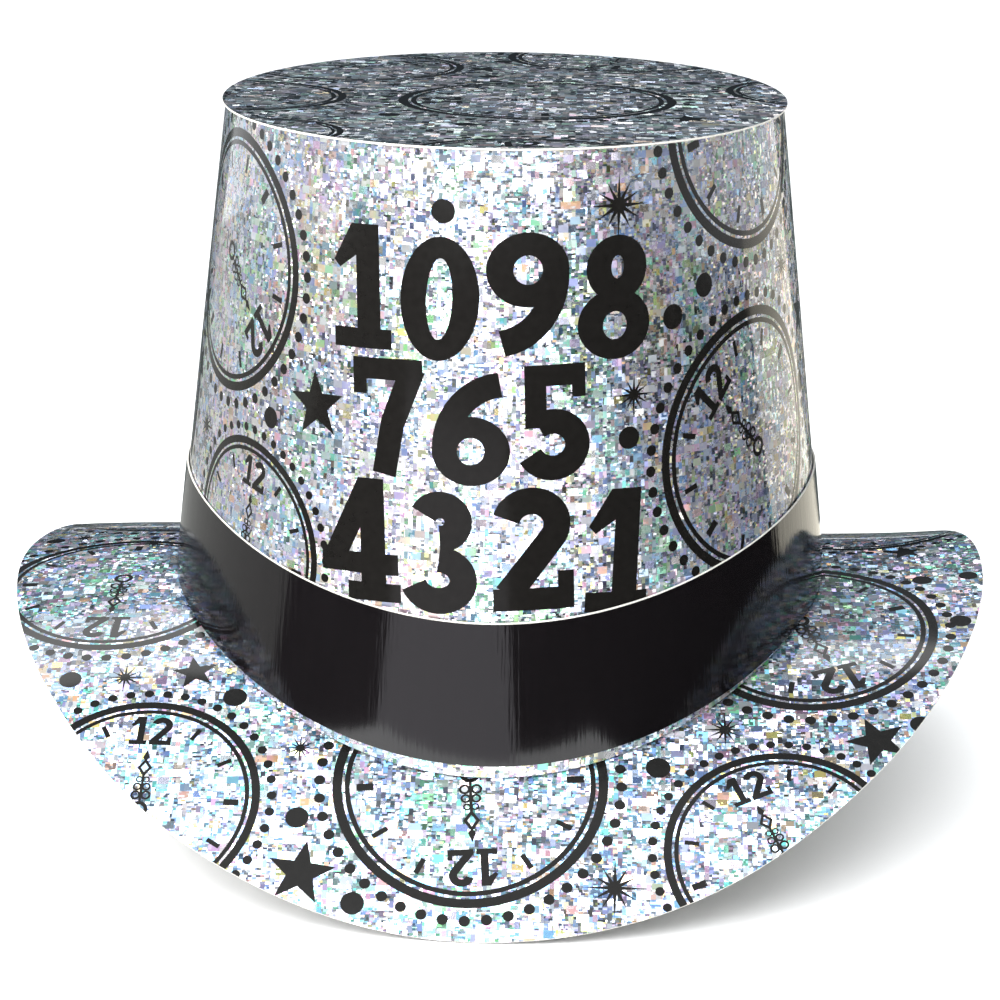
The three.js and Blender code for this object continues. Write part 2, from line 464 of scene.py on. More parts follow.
def clock(radius):
    """A clock face with its 12 towards +Y, inside a ring of dots."""
    prints = []
    for outer, inner in CLOCK_RINGS:
        prints += [(INK, circle((0, 0), outer)), (FOIL, circle((0, 0), inner))]
    for hour in range(1, 12):
        half = THICK_TICK if hour % 3 == 0 else THIN_TICK
        tick = box(-half, CLOCK_TICK[0], half, CLOCK_TICK[1])
        prints.append((INK, moved(tick, turn=-30 * hour)))
    numerals = numeral_row("12", 0.2, 0.03)
    prints += moved_print(numerals, centre=(0, CLOCK_NUMERALS_AT), size=CLOCK_NUMERALS_SIZE)
    prints += moved_print(clock_hand(), centre=HAND_START)
    for i in range(CLOCK_DOTS):
        turn = (i + 0.5) * FULL_TURN / CLOCK_DOTS
        middle = (CLOCK_DOTS_AT * math.cos(turn), CLOCK_DOTS_AT * math.sin(turn))
        prints.append((INK, circle(middle, CLOCK_DOT_SIZE, 14)))
    return moved_print(prints, size=radius)


def star(size):
    """A star with five broad points."""
    return [(INK, spikes(5, [1.22 * size], 0.5 * size))]


def burst(size):
    """A burst of twelve thin rays, every third one longer."""
    return [(INK, spikes(12, [1.15 * size, 0.92 * size, 0.92 * size], 0.26 * size))]


def dot(size):
    return [(INK, circle((0, 0), size, 32))]


def painted(motif, *places):
    """The same kind of motif at several places, each (x, y, turn in degrees, size)."""
    prints = []
    for x, y, turn, size in places:
        prints += moved_print(motif(size), centre=(x, y), turn=turn)
    return prints


def crown_print():
    """The print of the crown: x is the distance round from the front towards +X, at the height y."""
    prints = painted(
        clock,
        (-88.5, 93.5, -133, 34), (-74.5, 21.5, -10, 28), (80.5, 50, 48, 35), (82, 136, 15, 36),
        (-166, 128, 70, 35), (-154, 52, 160, 36), (-226, 98, -20, 34), (-232, 12, 110, 33),
        (160, 96, -70, 34), (146, 10, 20, 32), (226, 52, 200, 35), (236, 132, 35, 33),
    )
    prints += painted(
        dot,
        (-12, 115.2, 0, 3.0), (59.5, 93.6, 0, 3.1), (48.6, 86.9, 0, 3.2), (35.7, 57.5, 0, 2.9),
        (-64.4, 56.6, 0, 2.8), (-118, 60, 0, 3), (-196, 60, 0, 3.2), (-131, 16, 0, 3),
        (-268, 62, 0, 3), (118, 58, 0, 3), (124, 104, 0, 2.9), (190, 30, 0, 3.1),
        (196, 82, 0, 3), (-192, 22, 0, 2.8), (268, 92, 0, 3), (108, 14, 0, 3),
    )
    prints += painted(
        burst,
        (31.9, 116.2, 0, 7.4), (36.9, 68.4, 0, 5.2), (102.7, 92.1, 0, 5.6), (-103.7, 46.3, 0, 5.6),
        (-125, 108, 0, 6.4), (-190, 96, 0, 5.2), (-268, 84, 0, 6.2), (190, 58, 0, 6), (123, 122, 0, 5.4),
        (266, 30, 0, 6.4), (-268, 40, 0, 5),
    )
    prints += painted(
        star,
        (-47.3, 63, 4, 7.4), (-196, 40, -12, 7), (196, 106, 10, 7.2), (-116, 78, 20, 5.4),
        (122, 76, -8, 6.6), (-262, 118, 5, 7), (187, 8, 14, 6.6),
    )
    countdown = (("1098", -0.5, 94.2, 31.0), ("765", -4.5, 62.0, 29.5), ("4321", -1.0, 29.5, 32.0))
    for text, x, y, height in countdown:
        row = numeral_row(text, thickness=0.215, spacing=0.055, sway=0.025, turn=2.0)
        prints += moved_print(row, centre=(x, y), size=height)
    return prints


def brim_print():
    """The print of the brim: x is to the wearer's left, and y is behind the ridge along the card."""
    prints = painted(
        clock,
        (-4, -108, 184, 35.3), (-88.5, -114, -2, 31), (75, -126.5, 24, 29.7), (-104.5, -29, 178, 34),
        (84, -46, 200, 36), (104, 42, 130, 34), (-98, 52, -35, 35), (-72, 122, 60, 31),
        (2, 112, 8, 35), (78, 122, -50, 31),
    )
    prints += painted(
        dot,
        (-111.5, -74.8, 0, 3.0), (-67, -81, 0, 3.2), (-47.6, -119.2, 0, 3), (-32.2, -142.5, 0, 3),
        (44, -101.9, 0, 3.2), (112, -87, 0, 2.8), (126.4, -44.2, 0, 2.9), (118.6, -19, 0, 2.8),
        (131.5, -17, 0, 2.6), (-130, 10, 0, 2.8), (118, 86, 0, 3), (-44, 92, 0, 3),
        (42, 90, 0, 3), (-108, 92, 0, 3), (34, 142, 0, 2.8), (-36, 141, 0, 2.8),
    )
    prints += painted(
        burst,
        (-97, -74, 0, 4.9), (-48.4, -98, 0, 4.2), (33.2, -137, 0, 7), (61.4, -88.9, 0, 5.4),
        (-122, 12, 0, 5), (66, 88, 0, 5.4), (-62, 84, 0, 5), (42, 128, 0, 5.6), (-100, 2, 0, 4.4),
    )
    prints += painted(
        star,
        (-78.6, -71.8, 12, 5.2), (-45.7, -134.6, -8, 7.4), (100.5, -92.8, 20, 7),
        (-42, 116, 10, 6.6), (98, 88, -14, 6.6), (116, 4, 8, 5),
    )
    return prints


def top_print():
    """The print of the top: x is to the wearer's left, and y is towards the back."""
    prints = painted(
        clock,
        (9, -12.6, 95, 37.6), (-75, -10, 20, 32), (-46, 58, -60, 32), (32, 89, 170, 34),
        (92, 14, 40, 31), (8, -115, 5, 32), (-62, -78, 120, 24),
    )
    prints += painted(
        dot,
        (-8.5, -60, 0, 2.8), (-29, -44, 0, 2.9), (-6, 38, 0, 3), (52, 30, 0, 2.8), (-3, 76, 0, 2.8),
    )
    prints += painted(burst, (61, -16, 0, 4.6), (-32, 18, 0, 5), (-38, -42, 0, 4.4))
    prints += painted(star, (49, -44, 10, 5.4), (-8, 56, -12, 5.6))
    return prints


# ---- from flat sheets to meshes -------------------------------------------------------------------

CARD_BACK, CARD_EDGE = 2, 3  # material slots after FOIL and INK
SMALLEST_STEP = 1e-5  # nearer points are joined
TINY = 1e-12  # keeps the division by a length safe
WHOLE_NET = 0  # asks for the triangles of the whole convex net, to be sorted out here
NET_SPACING, BAND_SPACING, BACK_SPACING = 3.0, 2.5, 6.0  # between the loose points of a net


def anticlockwise(points):
    x, y = points[:, 0], points[:, 1]
    area = np.dot(x, np.roll(y, -1)) - np.dot(y, np.roll(x, -1))
    return points if area > 0 else points[::-1]


def triangulated(shapes, loose_points):
    """Cuts the first shape, the sheet, along the others. Gives its points, triangles and their layers."""
    points, faces = [], []
    for _, outline in shapes:
        outline = anticlockwise(outline)
        faces.append(list(range(len(points), len(points) + len(outline))))
        points += [Vector(p) for p in outline]
    points += [Vector(p) for p in loose_points]
    net = geometry.delaunay_2d_cdt(points, [], faces, WHOLE_NET, SMALLEST_STEP, True)
    co, _, triangles, _, _, owners = net
    kept, layers = [], []
    for triangle, inside in zip(triangles, owners):
        if 0 not in inside:
            continue
        layer = shapes[max(inside)][0]
        if layer == NOTHING:
            continue
        kept.append(triangle)
        layers.append(layer)
    used = np.unique(kept)
    renumber = np.full(len(co), -1)
    renumber[used] = np.arange(len(used))
    return np.array(co)[used], renumber[np.array(kept)], layers


def lattice(outline, spacing):
    """Loose points spread evenly over the box of an outline, in staggered rows."""
    low, high = outline.min(0), outline.max(0)
    rows = np.arange(low[1] + spacing / 2, high[1], spacing * 0.9)
    points = []
    for i, y in enumerate(rows):
        x = np.arange(low[0] + spacing * (0.25 + 0.5 * (i % 2)), high[0], spacing)
        points.append(np.column_stack([x, np.full(len(x), y)]))
    return np.vstack(points)


def border(triangles):
    """The directed edges that only one triangle has."""
    edges = {(t[i], t[(i + 1) % 3]) for t in triangles.tolist() for i in range(3)}
    return sorted(e for e in edges if (e[1], e[0]) not in edges)


def loops_of(edges):
    """Chains directed edges into closed loops of points."""
    follow = dict(edges)
    loops = []
    while follow:
        start = next(iter(follow))
        loop, at = [], start
        while at in follow:
            loop.append(at)
            at = follow.pop(at)
        loops.append(loop)
    return loops


def plain_back(flat, edges, spacing):
    """A coarser net for a sheet's plain back, on the same border points."""
    loops = sorted(loops_of(edges), key=lambda loop: -np.ptp(flat[loop][:, 0]))
    shapes = [(CARD_BACK if i == 0 else NOTHING, flat[loop]) for i, loop in enumerate(loops)]
    return triangulated(shapes, lattice(flat[loops[0]], spacing))


def surface_normals(place, flat, depth, step=0.05):
    ahead = place(flat + (step, 0), depth) - place(flat - (step, 0), depth)
    beside = place(flat + (0, step), depth) - place(flat - (0, step), depth)
    normal = np.cross(ahead, beside)
    return normal / np.linalg.norm(normal, axis=1)[:, None]


def card(shapes, place, spacing=NET_SPACING, back_spacing=BACK_SPACING):
    """A sheet of card with its front, its back and its cut edge.

    Gives (points, flat points, faces, a normal for each corner of each face, material slots).
    """
    flat, front, layers = triangulated(shapes, lattice(shapes[0][1], spacing))
    edges = border(front)
    back_flat, back, _ = plain_back(flat, edges, back_spacing)

    def key(p):
        """Names a point by its place, to a thousandth of a millimetre."""
        return (round(float(p[0]), 3), round(float(p[1]), 3))

    on_border = {key(flat[a]): a for a, _ in edges}
    front_points, back_points = place(flat, 0), place(back_flat, CARD)
    count = len(flat)
    back_of = {on_border[key(p)]: count + i for i, p in enumerate(back_flat) if key(p) in on_border}

    front_normals = surface_normals(place, flat, 0)
    outward = front_points[:1] - place(flat[:1], CARD)
    sign = 1 if np.dot(front_normals[0], outward[0]) > 0 else -1
    back_normals = -sign * surface_normals(place, back_flat, CARD)
    front_normals = sign * front_normals
    if sign < 0:
        front, edges = front[:, ::-1], [(b, a) for a, b in edges]
    else:
        back = back[:, ::-1]

    points = np.vstack([front_points, back_points])
    faces = front.tolist() + (back + count).tolist()
    normals = [front_normals[front].reshape(-1, 3), back_normals[back].reshape(-1, 3)]
    slots = list(layers) + [CARD_BACK] * len(back)
    for a, b in edges:
        if a in back_of and b in back_of:
            faces.append([b, a, back_of[a], back_of[b]])
            slots.append(CARD_EDGE)
            side = np.cross(points[a] - points[b], points[back_of[a]] - points[b])
            normals.append(np.tile(side / max(np.linalg.norm(side), TINY), (4, 1)))
    return points, np.vstack([flat, back_flat]), faces, np.vstack(normals), slots


def joined(parts):
    """Several sheets, each as card gives it, as one."""
    points, flat, faces, normals, slots = [], [], [], [], []
    for part_points, part_flat, part_faces, part_normals, part_slots in parts:
        first = sum(len(p) for p in points)
        points.append(part_points)
        flat.append(part_flat)
        faces += [[first + i for i in face] for face in part_faces]
        normals.append(part_normals)
        slots += part_slots
    return np.vstack(points), np.vstack(flat), faces, np.vstack(normals), slots


FLAT_MAP = "Flat"  # each point's place on the flat sheet, in units of FLAT_UNIT
FLAT_UNIT = 100  # mm


def make_piece(name, parts, materials, node):
    """A mesh object from sheets of card, standing for a CAD node."""
    points, flat, faces, normals, slots = joined(parts)
    mesh = bpy.data.meshes.new(name)
    mesh.from_pydata((points * MM).tolist(), [], faces)
    for material in materials:
        mesh.materials.append(material)
    mesh.polygons.foreach_set("material_index", slots)
    mesh.polygons.foreach_set("use_smooth", [True] * len(faces))
    flat_map = mesh.uv_layers.new(name=FLAT_MAP)
    corners = np.array([i for face in faces for i in face])
    flat_map.data.foreach_set("uv", (flat[corners] / FLAT_UNIT).ravel())
    mesh.normals_split_custom_set(normals.tolist())
    mesh.validate(clean_customdata=False)
    piece = bpy.data.objects.new(name, mesh)
    bpy.context.scene.collection.objects.link(piece)
    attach(piece, "root")
    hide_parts(node)


# ---- the four sheets ------------------------------------------------------------------------------


STRIP_HALF = (0.5 + LAP_SHARE / 2) * MIDDLE_GIRTH  # of the wall's and the band's length, from the front


def strip_outline(x, low, high, end_points):
    """The outline of a strip whose long edges have the heights low and high at each x."""
    end = np.linspace(low[0], high[0], end_points + 2)[1:-1]
    return np.vstack([
        np.column_stack([x, low]),
        np.column_stack([np.full(end_points, x[-1]), end]),
        np.column_stack([x[::-1], high[::-1]]),
        np.column_stack([np.full(end_points, x[0]), end[::-1]]),
    ])


def wall_outline(step=3.0):
    """The flat wall: straight at its top and its two ends, and waved at its foot."""
    x = np.linspace(-STRIP_HALF, STRIP_HALF, round(2 * STRIP_HALF / step))
    angle = crown_angle(x / MIDDLE_GIRTH, 0)
    foot = arch_height(crown_point(angle, 0, 0)[:, 1]) + GAP
    return strip_outline(x, foot, np.full(len(x), WALL_TOP), 38)


def on_wall(points):
    """From true distances round the crown to distances at its middle height."""
    return np.column_stack([points[:, 0] * MIDDLE_GIRTH / girth(points[:, 1]), points[:, 1]])


def tab_outline():
    """A tab's flat outline, from its fold at y = 0 to its rounded tip."""
    half, tip, corner = TAB_WIDTH / 2, TAB_TIP_WIDTH / 2, 2.0
    right = arc((tip - corner, TAB_LENGTH - corner), (corner, corner), 0, 90, 18)
    left = arc((corner - tip, TAB_LENGTH - corner), (corner, corner), 90, 180, 18)
    return np.vstack([[(-half, 0), (half, 0)], right, left])


def tab_angles():
    return [BACK - FULL_TURN + (i + 0.5) * FULL_TURN / TAB_COUNT for i in range(TAB_COUNT)]


def top_tab(middle, droop):
    """A tab of the wall, folded in under the top. Its tip hangs by droop."""
    share = float(np.interp(middle, TOP_ANGLES, TOP_SHARES))

    def place(flat, depth):
        angle = crown_angle(share + flat[:, 0] / TOP_GIRTH, WALL_TOP)
        fall = droop * np.clip(flat[:, 1] / TAB_LENGTH, 0, None) ** DROOP_POWER
        points = crown_point(angle, WALL_TOP, CARD / 2 - flat[:, 1] + unevenness(angle, WALL_TOP))
        points[:, 2] -= depth + fall
        return points

    return card([(FOIL, tab_outline())], place, back_spacing=NET_SPACING)


def collar_tab(middle, lean):
    """A tab of the brim, folded up inside the wall. Its tip leans inwards."""
    share = float(np.interp(middle, FOOT_ANGLES, FOOT_SHARES))

    def place(flat, depth):
        angle = crown_angle(share + flat[:, 0] / FOOT_GIRTH, 0)
        inward = GAP + depth + lean * (flat[:, 1] / TAB_LENGTH) ** LEAN_POWER
        return above_brim(angle, flat[:, 1] - CARD / 2, -inward)

    return card([(FOIL, tab_outline())], place, back_spacing=NET_SPACING)


def make_wall(materials):
    prints = [(layer, on_wall(points)) for layer, points in crown_print()]
    parts = [card([(FOIL, wall_outline())] + prints, wall_place)]
    parts += [top_tab(angle, mix(*TOP_TAB_DROOP, chance.random())) for angle in tab_angles()]
    make_piece("crown_sheet", parts, materials, "crown_wall")


def make_top(materials):
    reach = CARD + TOP_OVERHANG
    outline = circle((0, 0), (TOP_HALF_WIDTH + reach, TOP_HALF_LENGTH + reach), 240)
    parts = [card([(FOIL, outline)] + top_print(), top_place)]
    make_piece("top_sheet", parts, materials, "crown_top")


def make_brim(materials):
    outline = circle((0, 0), (BRIM_HALF_WIDTH, BRIM_HALF_LENGTH), 320)
    count = 200
    turn = np.arange(count) * FULL_TURN / count
    edge = crown_point(turn, 0, -LAYER)
    hole = np.column_stack([edge[:, 0], ARCH_RADIUS * np.arcsin(edge[:, 1] / ARCH_RADIUS)])
    shapes = [(FOIL, outline)] + brim_print() + [(NOTHING, hole)]
    parts = [card(shapes, brim_place)]
    parts += [collar_tab(angle, mix(*COLLAR_TAB_LEAN, chance.random())) for angle in tab_angles()]
    make_piece("brim_sheet", parts, materials, "brim")


def make_band(materials):
    count = 280
    x = np.linspace(-STRIP_HALF, STRIP_HALF, count)
    outline = strip_outline(x, np.zeros(count), np.full(count, BAND_HEIGHT_AT_FRONT), 12)
    parts = [card([(FOIL, outline)], band_place, BAND_SPACING)]
    make_piece("band_sheet", parts, materials, "hat_band")


# ---- materials ------------------------------------------------------------------------------------


class Nodes:
    """Short ways to build a material's node tree."""

    def __init__(self, name):
        self.material = bpy.data.materials.new(name)
        self.material.use_nodes = True
        self.tree = self.material.node_tree
        self.shader = self.tree.nodes["Principled BSDF"]

    def set(self, socket, value):
        if isinstance(value, bpy.types.NodeSocket):
            self.tree.links.new(value, socket)
        else:
            socket.default_value = value

    def finish(self, **inputs):
        for name, value in inputs.items():
            self.set(self.shader.inputs[name.replace("_", " ")], value)
        return self.material

    def add(self, kind, inputs=(), **settings):
        node = self.tree.nodes.new("ShaderNode" + kind)
        for name, value in settings.items():
            setattr(node, name, value)
        for name, value in dict(inputs).items():
            self.set(node.inputs[name], value)
        return node

    def math(self, operation, a, b=0.0, clamp=False):
        return self.add("Math", {0: a, 1: b}, operation=operation, use_clamp=clamp).outputs[0]

    def between(self, a, low, high):
        node = self.add("MapRange", {"Value": a, "To Min": low, "To Max": high})
        return node.outputs["Result"]

    def blend(self, share, a, b, kind="MIX"):
        node = self.add("Mix", data_type="RGBA", blend_type=kind)
        self.set(node.inputs["Factor"], share)
        self.set(node.inputs["A"], a)
        self.set(node.inputs["B"], b)
        return node.outputs["Result"]

    def split(self, vector):
        node = self.add("SeparateXYZ", {"Vector": vector})
        return node.outputs[0], node.outputs[1], node.outputs[2]

    def ramp(self, value, stops):
        node = self.add("ValToRGB", {"Fac": value})
        elements = node.color_ramp.elements
        while len(elements) < len(stops):
            elements.new(0.5)
        for element, (position, colour) in zip(elements, stops):
            element.position = position
            element.color = (*colour, 1)
        return node.outputs["Color"]

    def flat_millimetres(self):
        flat = self.add("UVMap", uv_map=FLAT_MAP).outputs["UV"]
        return self.add("VectorMath", {0: flat, 1: (FLAT_UNIT,) * 3}, operation="MULTIPLY").outputs[0]

    def noise(self, vector, scale, detail=2.0, stretch=(1, 1, 1)):
        stretched = self.add("VectorMath", {0: vector, 1: stretch}, operation="MULTIPLY").outputs[0]
        node = self.add("TexNoise", {"Vector": stretched, "Scale": scale, "Detail": detail})
        return node.outputs["Fac"]

    def bump(self, height, strength, distance):
        """A bump whose height of one is a distance in metres."""
        node = self.add("Bump", {"Height": height, "Strength": strength, "Distance": distance})
        return node.outputs["Normal"]


MOST_TILE_SHIFT = 9.0  # tiles


def tiles(nodes, across, up, size, grain, seed):
    """Three random numbers for each tile of a wall of tiles, whose rows are shifted at random."""
    row = nodes.math("FLOOR", nodes.math("DIVIDE", up, size[1] * grain))
    chance_of_row = nodes.add("TexWhiteNoise", {"W": nodes.math("ADD", row, seed)}, noise_dimensions="1D")
    shift = nodes.math("MULTIPLY", chance_of_row.outputs[0], MOST_TILE_SHIFT)
    column = nodes.math("ADD", nodes.math("DIVIDE", across, size[0] * grain), shift)
    cell = nodes.add("CombineXYZ", {0: nodes.math("FLOOR", column), 1: row, 2: seed})
    noise = nodes.add("TexWhiteNoise", {"Vector": cell.outputs[0]}, noise_dimensions="3D")
    return noise.outputs["Color"]


LARGE_TILE, MEDIUM_TILE, SMALL_TILE = (2.6, 1.9), (1.7, 1.05), (0.95, 0.55)  # mm, for a grain of one
LARGE_SHARE, MEDIUM_SHARE = 0.30, 0.55  # of all tiles, and of those that aren't large
LARGE_TILE_LIFT = 0.22  # how much brighter the large tiles are
ZONE_SCALE, ZONE_STRENGTH = 0.022, 0.6  # broad lighter and darker zones
SILVER_MIDDLE, SILVER_LIGHT, SILVER_WHITE = (0.42, 0.46, 0.50), (0.84, 0.86, 0.89), (0.98, 0.98, 0.98)
DRIFT_SCALE, DRIFT_STRETCH = 0.05, (1.0, 0.35, 1.0)  # broad upright bands of tint
HUE_SPREAD, HUE_POWER = 0.7, 2.0  # most tiles keep near the hue of their place
TINT_POWER = 1.2
TILE_LEAN = (0.26, 0.74)  # 0.5 doesn't lean
FOIL_METAL = 0.85
FOIL_ROUGHNESS = (0.2, 0.42)
FILM_ROUGHNESS = 0.04
PASTELS = (  # the tints, round a circle
    (0.00, (0.28, 0.80, 0.95)),
    (0.16, (0.30, 0.50, 1.00)),
    (0.32, (0.62, 0.56, 1.00)),
    (0.46, (1.00, 0.52, 0.76)),
    (0.58, (1.00, 0.58, 0.32)),
    (0.70, (0.98, 0.90, 0.28)),
    (0.84, (0.34, 0.88, 0.32)),
    (1.00, (0.16, 0.76, 0.70)),
)


def foil_material(name, seed, tone, paleness, colour, grain, darkest, hue_start, hue_drift):
    """Silver foil under a clear film, broken into small oblong tiles that each catch another light. The tiles'
    lighter, darker and tinted colours are the foil's own mosaic and partly painted reflection: they stand in for
    the light that each tile sends back.

    tone is how bright the tiles are, and a tone below one is painted shade, for a sheet that lies darker under
    the light; paleness makes more of them white, colour is how strongly they are tinted, and grain how large
    they are.
    darkest is the grey of the darkest ones. The tints start from hue_start and drift by up to hue_drift, faster
    across the sheet than up it.
    """
    nodes = Nodes(name)
    flat = nodes.flat_millimetres()
    x, y, _ = nodes.split(flat)
    large = tiles(nodes, x, y, LARGE_TILE, grain, seed)
    medium = tiles(nodes, y, x, MEDIUM_TILE, grain, seed + 1)  # these stand upright
    small = tiles(nodes, x, y, SMALL_TILE, grain, seed + 2)
    pick_large = nodes.math("LESS_THAN", nodes.split(large)[2], LARGE_SHARE)
    pick_medium = nodes.math("LESS_THAN", nodes.split(medium)[2], MEDIUM_SHARE)
    tile = nodes.blend(pick_large, nodes.blend(pick_medium, small, medium), large)
    light, hue, tilt = nodes.split(tile)
    extra = nodes.add("TexWhiteNoise", {"Vector": tile}, noise_dimensions="3D").outputs["Color"]
    depth, tilt_more, rough = nodes.split(extra)

    # Each tile's lightness, from dark slate to white, is partly painted reflection: besides the foil's own
    # mosaic, it stands in for how brightly each tile sends the light back.
    zone = nodes.math("SUBTRACT", nodes.noise(flat, ZONE_SCALE, 1.0), 0.5)
    light = nodes.math("ADD", light, nodes.math("MULTIPLY", zone, ZONE_STRENGTH))
    bias = nodes.math("ADD", nodes.math("MULTIPLY", pick_large, LARGE_TILE_LIFT), paleness)
    light = nodes.math("ADD", light, bias, clamp=True)
    silver = nodes.ramp(light, (
        (0.00, (darkest, darkest * 1.15, darkest * 1.3)),
        (0.14, (darkest + 0.10, darkest + 0.13, darkest + 0.16)),
        (0.30, SILVER_MIDDLE),
        (0.44, SILVER_LIGHT),
        (1.00, SILVER_WHITE),
    ))
    # The pastel tints are partly painted light: they stand in for the colours that the foil's grating splits
    # from the light.
    drift_noise = nodes.noise(flat, DRIFT_SCALE, 1.0, DRIFT_STRETCH)
    drift = nodes.math("ADD", nodes.math("MULTIPLY", drift_noise, hue_drift), hue_start)
    spread = nodes.math("MULTIPLY", nodes.math("POWER", hue, HUE_POWER), HUE_SPREAD)
    shade = nodes.math("FRACT", nodes.math("ADD", spread, drift))
    tinted = nodes.blend(1.0, silver, nodes.ramp(shade, PASTELS), "MULTIPLY")
    amount = nodes.math("MULTIPLY", nodes.math("POWER", depth, TINT_POWER), colour, clamp=True)
    face = nodes.blend(amount, silver, tinted)

    leaning = nodes.add("CombineXYZ", {
        0: nodes.between(tilt, *TILE_LEAN),
        1: nodes.between(tilt_more, *TILE_LEAN),
        2: 1.0,
    })
    normal = nodes.add("NormalMap", {"Color": leaning.outputs[0], "Strength": 1.0}, uv_map=FLAT_MAP)
    return nodes.finish(
        Base_Color=nodes.blend(1.0, face, (tone, tone, tone, 1), "MULTIPLY"),
        Metallic=FOIL_METAL,
        Roughness=nodes.between(rough, *FOIL_ROUGHNESS),
        Normal=normal.outputs["Normal"],
        Coat_Weight=1.0,
        Coat_Roughness=FILM_ROUGHNESS,
    )


INK_TILE = (1.6, 1.2)  # mm
INK_DARK, INK_LIGHT = (0.006, 0.0055, 0.005, 1), (0.012, 0.011, 0.010, 1)
INK_ROUGHNESS = (0.09, 0.16)
INK_GLOSS = 0.25


def ink_material():
    """Glossy black print on the film. The tiles under it show as a faint unevenness."""
    nodes = Nodes("black_print")
    flat = nodes.flat_millimetres()
    x, y, _ = nodes.split(flat)
    tile = nodes.split(tiles(nodes, x, y, INK_TILE, 1.0, 40))[0]
    cloud = nodes.noise(flat, 0.5, 3.0)
    return nodes.finish(
        Base_Color=nodes.blend(cloud, INK_DARK, INK_LIGHT),
        Roughness=nodes.between(cloud, *INK_ROUGHNESS),
        Normal=nodes.bump(tile, strength=0.12, distance=0.00002),
        Specular_IOR_Level=INK_GLOSS,
    )


BAND_DARK, BAND_LIGHT = (0.0035, 0.0028, 0.0033, 1), (0.007, 0.0058, 0.0065, 1)
BAND_ROUGHNESS = (0.05, 0.11)
BAND_GLOSS = 0.6


def band_material():
    """Smooth glossy black card, with a faint upright grain from rolling."""
    nodes = Nodes("black_gloss_card")
    flat = nodes.flat_millimetres()
    grain = nodes.noise(flat, 0.35, 3.0, (3.0, 0.12, 1.0))
    specks = nodes.noise(flat, 4.0, 2.0)
    return nodes.finish(
        Base_Color=nodes.blend(grain, BAND_DARK, BAND_LIGHT),
        Roughness=nodes.between(specks, *BAND_ROUGHNESS),
        Normal=nodes.bump(grain, strength=0.25, distance=0.0002),
        Specular_IOR_Level=BAND_GLOSS,
    )


CARD_ROUGHNESS = (0.75, 0.95)


def card_material(name, light, dark):
    """Uncoated card: a matt white pulp with short fibres in it."""
    nodes = Nodes(name)
    flat = nodes.flat_millimetres()
    fibres = nodes.noise(flat, 1.6, 4.0, (1.0, 0.35, 1.0))
    clouds = nodes.noise(flat, 0.08, 2.0)
    fibre_share = 0.7
    mottle = nodes.math(
        "ADD", nodes.math("MULTIPLY", fibres, fibre_share), nodes.math("MULTIPLY", clouds, 1 - fibre_share),
    )
    return nodes.finish(
        Base_Color=nodes.ramp(mottle, ((0.3, dark), (0.7, light))),
        Roughness=nodes.between(fibres, *CARD_ROUGHNESS),
        Normal=nodes.bump(fibres, strength=0.3, distance=0.00008),
    )


chance = random.Random(12)
ink = ink_material()
card_back = card_material("card_back", light=(0.80, 0.79, 0.76), dark=(0.70, 0.69, 0.66))
card_edge = card_material("card_edge", light=(0.86, 0.83, 0.77), dark=(0.70, 0.67, 0.60))
crown_foil = foil_material(
    "crown_foil", seed=3, tone=1.0, paleness=0.09, colour=0.95, grain=1.0, darkest=0.08,
    hue_start=0.0, hue_drift=2.2,
)
# The top's tone of 0.85 is painted shade: the same foil as the crown's, made darker for the top.
top_foil = foil_material(
    "top_foil", seed=17, tone=0.85, paleness=0.0, colour=0.6, grain=1.7, darkest=0.0,
    hue_start=0.6, hue_drift=0.7,
)
brim_foil = foil_material(
    "brim_foil", seed=29, tone=0.98, paleness=0.03, colour=1.3, grain=1.15, darkest=0.08,
    hue_start=0.58, hue_drift=0.8,
)

make_wall([crown_foil, ink, card_back, card_edge])
make_top([top_foil, ink, card_back, card_edge])
make_brim([brim_foil, ink, card_back, card_edge])
make_band([band_material(), ink, card_back, card_edge])


# ---- floor and light ------------------------------------------------------------------------------


FLOOR_LEVEL = cad_box[0][2]
FLOOR_DARK, FLOOR_LIGHT = 0.86, 0.90  # the paper's two greys


def grey(shade):
    return (shade, shade, shade, 1)


def make_floor():
    """A wide floor of white paper."""
    half = 6.0
    mesh = bpy.data.meshes.new("floor")
    corners = box(-half, -half, half, half).tolist()
    mesh.from_pydata([(x, y, FLOOR_LEVEL) for x, y in corners], [], [(0, 1, 2, 3)])
    nodes = Nodes("floor_paper")
    place = nodes.add("TexCoord").outputs["Object"]
    cloud = nodes.noise(place, 3.0, 3.0)
    mesh.materials.append(nodes.finish(
        Base_Color=nodes.blend(cloud, grey(FLOOR_DARK), grey(FLOOR_LIGHT)),
        Roughness=0.9,
    ))
    floor = bpy.data.objects.new("floor", mesh)
    bpy.context.scene.collection.objects.link(floor)
    return floor


def make_backdrop():
    """A pale round wall behind the floor on every side. It's only seen, and lights nothing."""
    radius, height, count = 5.5, 5.0, 64
    ring = circle((0, 0), radius, count).tolist()
    points = [(x, y, z) for z in (FLOOR_LEVEL, FLOOR_LEVEL + height) for x, y in ring]
    faces = []
    for i in range(count):
        after = (i + 1) % count
        faces.append((i, after, after + count, i + count))
    mesh = bpy.data.meshes.new("backdrop")
    mesh.from_pydata(points, [], faces)
    nodes = Nodes("backdrop_paper")
    mesh.materials.append(nodes.finish(
        Base_Color=grey(0.02),
        Roughness=0.95,
        Emission_Color=(0.94, 0.95, 0.96, 1),
        Emission_Strength=1.0,
    ))
    wall = bpy.data.objects.new("backdrop", mesh)
    wall.visible_diffuse = False
    wall.visible_glossy = False
    wall.visible_shadow = False
    bpy.context.scene.collection.objects.link(wall)


SUN_WIDTH = 1.6  # radians across, for soft shadows


